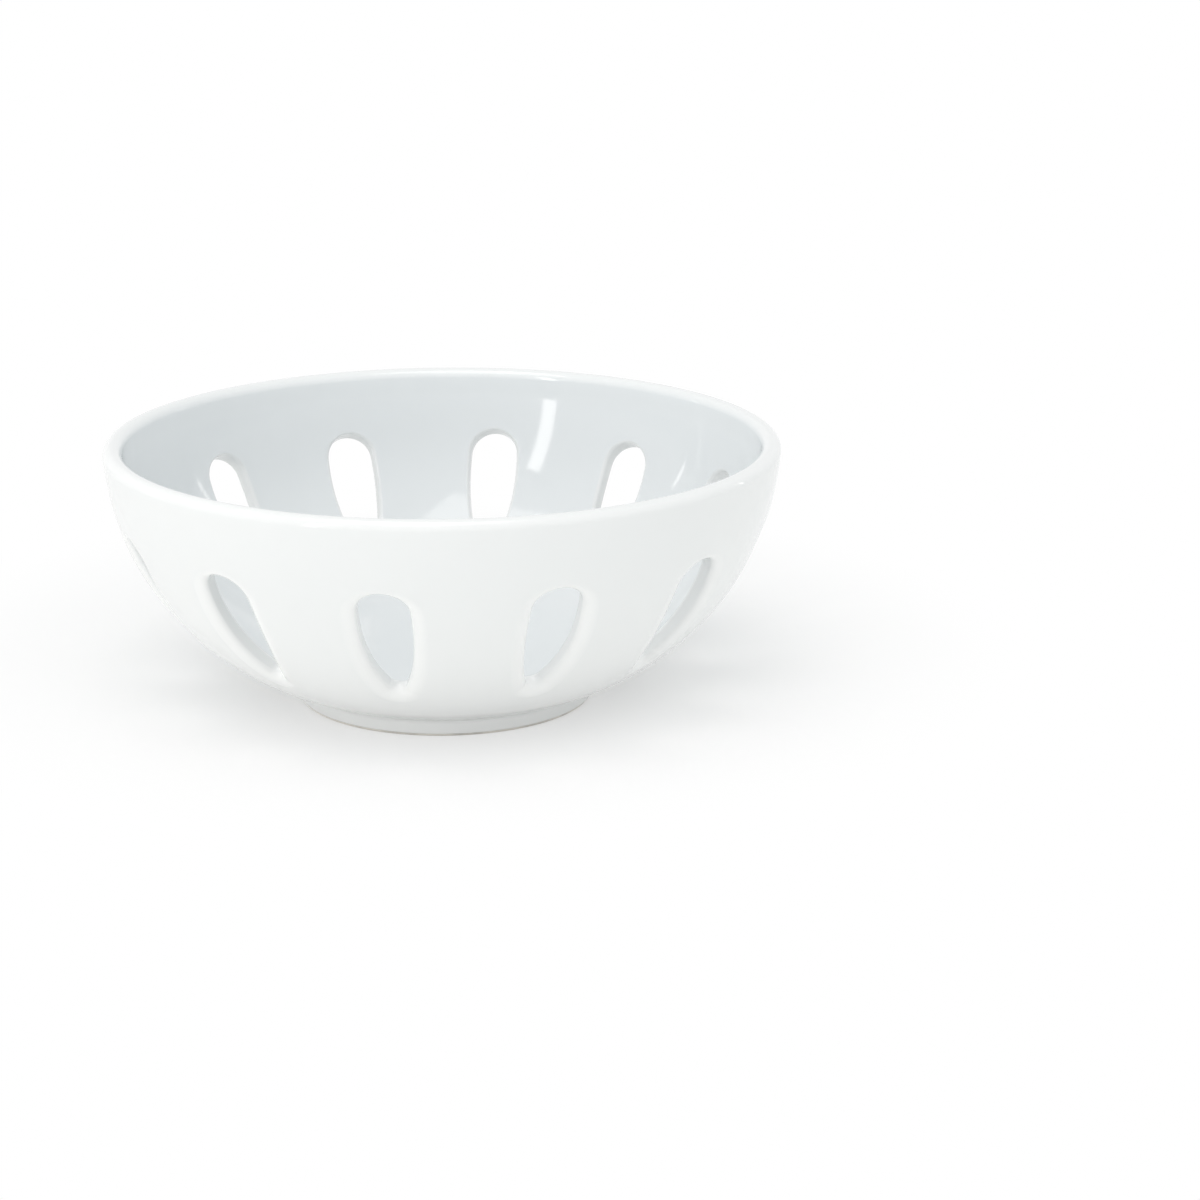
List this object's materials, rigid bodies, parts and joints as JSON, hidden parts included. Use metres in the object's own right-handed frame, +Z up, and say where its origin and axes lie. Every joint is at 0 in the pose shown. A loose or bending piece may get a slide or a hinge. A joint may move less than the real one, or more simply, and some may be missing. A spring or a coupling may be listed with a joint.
{
  "type": "berry colander bowl",
  "caption": "Round white glazed porcelain bowl on a low foot ring, its wall pierced by a ring of teardrop drain slots, for rinsing and serving berries.",
  "frame": {"origin": "centre of the foot ring's resting edge, on the table", "axes": "+Z up along the bowl's axis, +X through the middle of one slot"},
  "size_m": [0.152, 0.152, 0.06],
  "materials": {
    "fired_clay": "matte",
    "bare_clay": "matte",
    "white_glaze": "gloss"
  },
  "bodies": {
    "root": {"bowl_body": "fired_clay", "foot_ring": "bare_clay", "inner_glaze": "white_glaze", "outer_glaze": "white_glaze", "slot_glaze": "white_glaze", "well_glaze": "white_glaze"}
  },
  "joints": []
}
